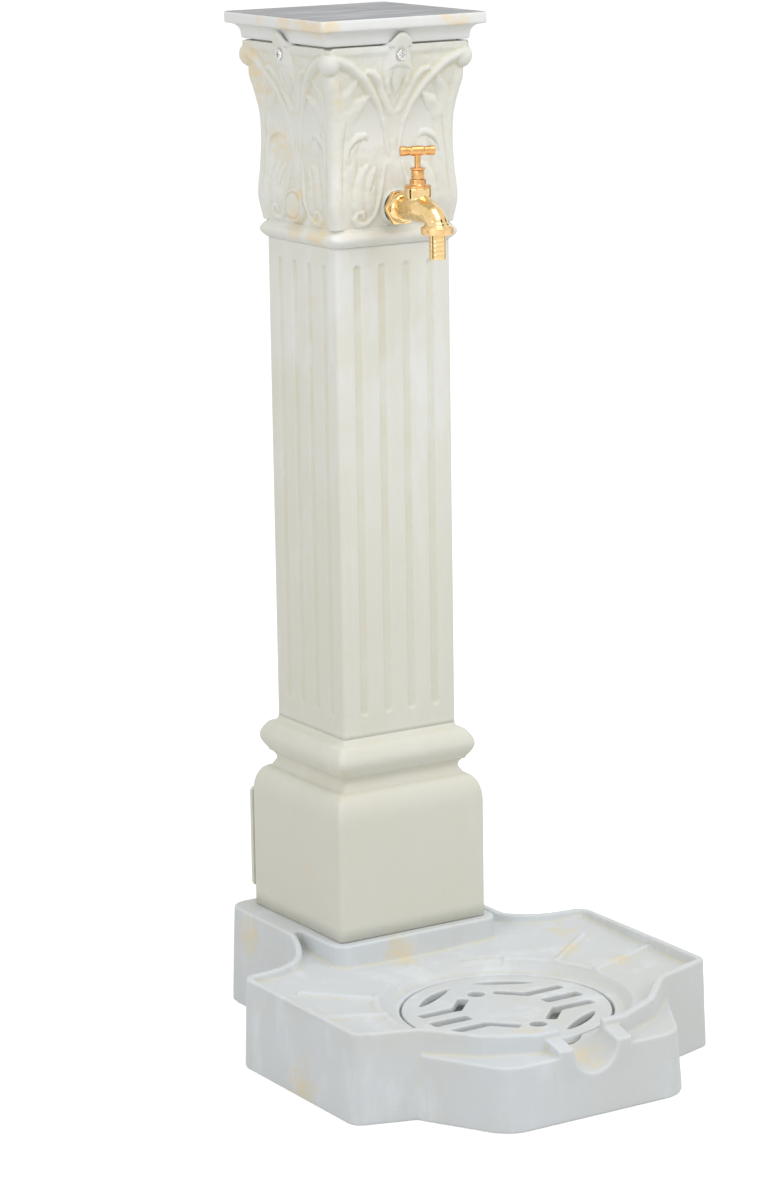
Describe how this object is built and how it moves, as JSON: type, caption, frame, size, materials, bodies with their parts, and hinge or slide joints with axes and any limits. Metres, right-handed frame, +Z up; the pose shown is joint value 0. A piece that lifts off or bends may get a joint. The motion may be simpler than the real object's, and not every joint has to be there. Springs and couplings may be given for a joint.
{
  "type": "garden standpipe with basin and tap",
  "caption": "Square fluted cast column with an acanthus capital and a brass bib tap, bolted to a cast floor basin with a lift-out grate and a front spout.",
  "frame": {"origin": "middle of the footprint's bounding box, on the ground", "axes": "+Z up, the tap and the spout face -Y, +X to the right seen from the tap's side"},
  "size_m": [0.38, 0.47, 0.93],
  "materials": {
    "cast_base": "antique ivory paint on a rough casting, greyer on the base, with warm stains in the hollows",
    "cast_column": "antique ivory paint with a cream and ochre patina brushed into the relief",
    "cast_cap": "antique ivory paint, greyer on the flat top",
    "bright_screw": "bright zinc-plated steel",
    "zinc_steel": "galvanised steel",
    "polished_brass": "polished yellow brass",
    "satin_brass": "satin cast brass",
    "plain_brass": "plain machined brass",
    "pin_steel": "plain steel",
    "seal_rubber": "black rubber",
    "drain_plastic": "dark grey polypropylene"
  },
  "bodies": {
    "standpipe": {"basin_casting": "cast_base", "drain_spigot": "drain_plastic", "drain_gasket": "seal_rubber", "drain_lock_nut": "drain_plastic", "column_casting": "cast_column", "rear_cover": "cast_column", "rear_cover_screws": "bright_screw", "top_cap": "cast_cap", "cap_screws": "bright_screw", "column_bolts": "zinc_steel", "column_bolt_washers": "zinc_steel", "inlet_socket": "plain_brass", "inlet_gasket": "seal_rubber", "inlet_lock_nut": "plain_brass", "inlet_pipe": "zinc_steel", "lower_elbow": "plain_brass", "riser_pipe": "zinc_steel", "upper_elbow": "plain_brass", "pipe_clip": "zinc_steel", "pipe_clip_screws": "bright_screw", "tap_body": "polished_brass", "wall_nut": "polished_brass", "wall_washer": "seal_rubber", "back_washer": "pin_steel", "back_nut": "plain_brass", "bonnet_gasket": "seal_rubber", "bonnet": "satin_brass", "gland_nut": "satin_brass", "gland_packing": "seal_rubber"},
    "grate": {"grate": "cast_base"},
    "valve": {"valve_disc": "plain_brass", "valve_washer": "seal_rubber", "valve_washer_nut": "plain_brass"},
    "handle": {"spindle": "satin_brass", "t_handle": "satin_brass", "handle_pin": "pin_steel"},
    "hose_tail": {"hose_tail": "satin_brass", "hose_washer": "seal_rubber"},
    "union_nut": {"union_nut": "satin_brass"}
  },
  "joints": [
    {"name": "valve_lift", "type": "slide", "parent": "standpipe", "child": "valve", "axis": [0, 0, 1], "range_m": [0, 0.004]},
    {"name": "handle_turn", "type": "hinge", "parent": "valve", "child": "handle", "pos_m": [0, 0.0366, 0.8134], "axis": [0, 0, 1], "range_deg": [0, 720]},
    {"name": "nozzle_drop", "type": "slide", "parent": "standpipe", "child": "hose_tail", "axis": [0, 0, -1], "range_m": [0, 0.00544]},
    {"name": "union_nut_turn", "type": "hinge", "parent": "hose_tail", "child": "union_nut", "pos_m": [0, 0.0056, 0.7455], "axis": [0, 0, -1], "range_deg": [0, 1080]},
    {"name": "grate_lift", "type": "slide", "parent": "standpipe", "child": "grate", "axis": [0, 0, 1], "range_m": [0, 0.1]}
  ],
  "couplings": [
    {"joint": "handle_turn", "follows": "valve_lift", "rad_per_m": 3141.5},
    {"joint": "union_nut_turn", "follows": "nozzle_drop", "rad_per_m": 3464.9}
  ]
}
